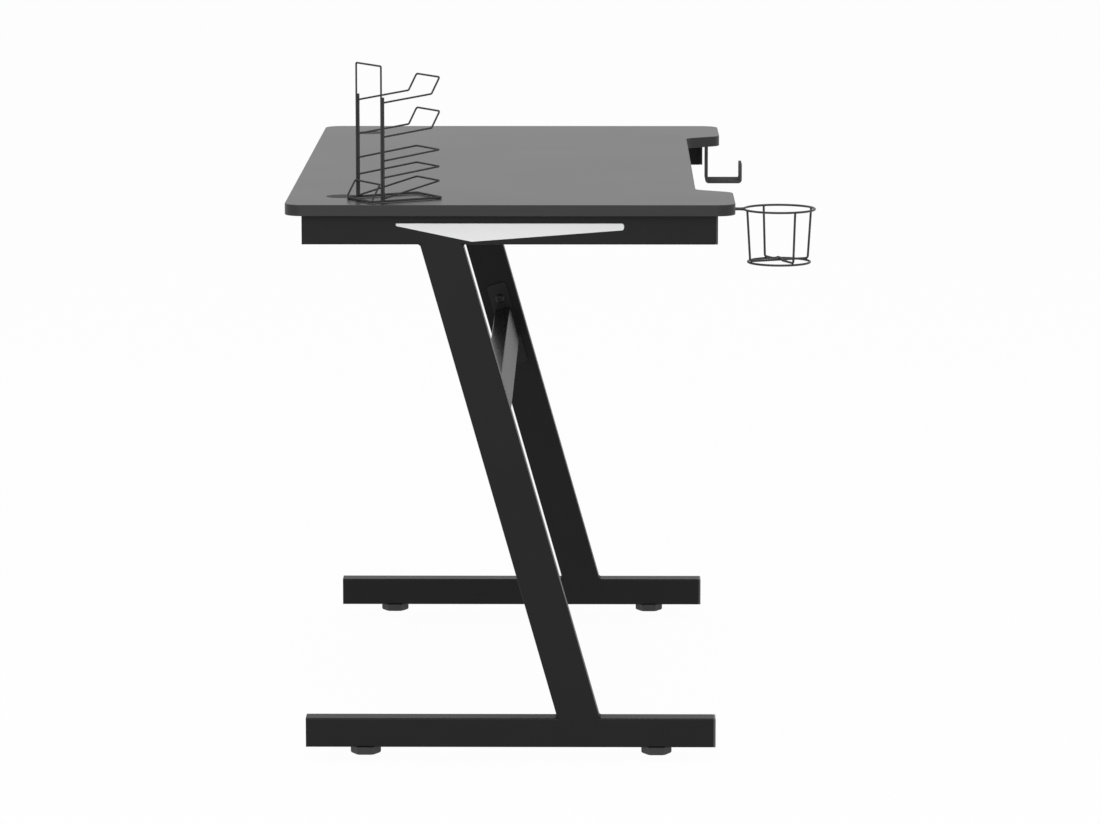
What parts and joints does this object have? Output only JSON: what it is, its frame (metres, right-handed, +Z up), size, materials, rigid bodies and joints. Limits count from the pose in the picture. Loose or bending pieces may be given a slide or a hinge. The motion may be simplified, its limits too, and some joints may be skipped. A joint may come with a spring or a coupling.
{
  "type": "gaming desk",
  "caption": "Gaming desk with a bay in its front edge, slanting legs on long feet, a crossbar, a headphone hook, a wire cup holder and a wire rack for controllers and cases.",
  "frame": {"origin": "on the floor, at the middle of the whole desk's box with the cup holder and hook included; the worktop's own middle is 55.2 mm behind it", "axes": "+Z up; -Y to the front, where the user sits; -X to the user's left, where the cup holder and rack are"},
  "size_m": [1.05, 0.7104, 0.9333],
  "materials": {
    "black_laminate": "satin black laminate on particle board, fine even texture",
    "black_edging": "satin black edging band",
    "black_steel": "fine-textured black powder coat",
    "black_crossbar": "fine-textured black powder coat",
    "black_wire": "smooth satin black powder coat",
    "white_inlay": "plain white satin plastic",
    "grey_cap": "moulded dark grey plastic",
    "black_cap": "moulded black plastic",
    "cable_cap_plastic": "finely grained black plastic",
    "black_bolt": "black oxide on steel",
    "pad_plastic": "moulded black plastic",
    "zinc_steel": "bright zinc plate"
  },
  "bodies": {
    "desk": {"worktop": "black_laminate", "worktop_edging": "black_edging", "left_cable_cap": "cable_cap_plastic", "right_cable_cap": "cable_cap_plastic", "left_top_rail": "black_steel", "left_leg": "black_steel", "left_foot_rail": "black_steel", "right_top_rail": "black_steel", "right_leg": "black_steel", "right_foot_rail": "black_steel", "left_top_front_cap": "black_cap", "left_top_rear_cap": "black_cap", "left_foot_front_cap": "grey_cap", "left_foot_rear_cap": "black_cap", "right_top_front_cap": "black_cap", "right_top_rear_cap": "black_cap", "right_foot_front_cap": "grey_cap", "right_foot_rear_cap": "black_cap", "left_inlay": "white_inlay", "right_inlay": "white_inlay", "glide_nuts": "zinc_steel", "crossbar": "black_crossbar", "left_crossbar_plate": "black_crossbar", "right_crossbar_plate": "black_crossbar", "crossbar_bolts": "black_bolt", "front_stretcher": "black_steel", "rear_stretcher": "black_steel", "stretcher_brackets": "black_steel", "stretcher_bolts": "zinc_steel", "insert_nuts": "zinc_steel", "worktop_screws": "zinc_steel", "accessory_screws": "zinc_steel", "headphone_hook": "black_steel", "cup_top_ring": "black_wire", "cup_foot_ring": "black_wire", "cup_lower_wire": "black_wire", "cup_upper_wire": "black_wire", "cup_saddle": "black_steel"},
    "rack": {"rack_foot_frame": "black_wire", "rack_left_upright": "black_wire", "rack_right_upright": "black_wire", "rack_hoop": "black_wire", "rack_upper_cradle": "black_wire", "rack_lower_cradle": "black_wire", "rack_upper_shelf": "black_wire", "rack_middle_shelf": "black_wire", "rack_lower_shelf": "black_wire", "rack_brace": "black_wire"},
    "left_front_glide": {"left_front_pad": "pad_plastic", "left_front_stud": "zinc_steel"},
    "left_rear_glide": {"left_rear_pad": "pad_plastic", "left_rear_stud": "zinc_steel"},
    "right_front_glide": {"right_front_pad": "pad_plastic", "right_front_stud": "zinc_steel"},
    "right_rear_glide": {"right_rear_pad": "pad_plastic", "right_rear_stud": "zinc_steel"}
  },
  "joints": [
    {"name": "left_front_glide_out", "type": "slide", "parent": "desk", "child": "left_front_glide", "axis": [0, 0, -1], "range_m": [0, 0.01]},
    {"name": "left_rear_glide_out", "type": "slide", "parent": "desk", "child": "left_rear_glide", "axis": [0, 0, -1], "range_m": [0, 0.01]},
    {"name": "right_front_glide_out", "type": "slide", "parent": "desk", "child": "right_front_glide", "axis": [0, 0, -1], "range_m": [0, 0.01]},
    {"name": "right_rear_glide_out", "type": "slide", "parent": "desk", "child": "right_rear_glide", "axis": [0, 0, -1], "range_m": [0, 0.01]},
    {"name": "rack_lift", "type": "slide", "parent": "desk", "child": "rack", "axis": [0, 0, 1], "range_m": [0, 0.15]}
  ]
}
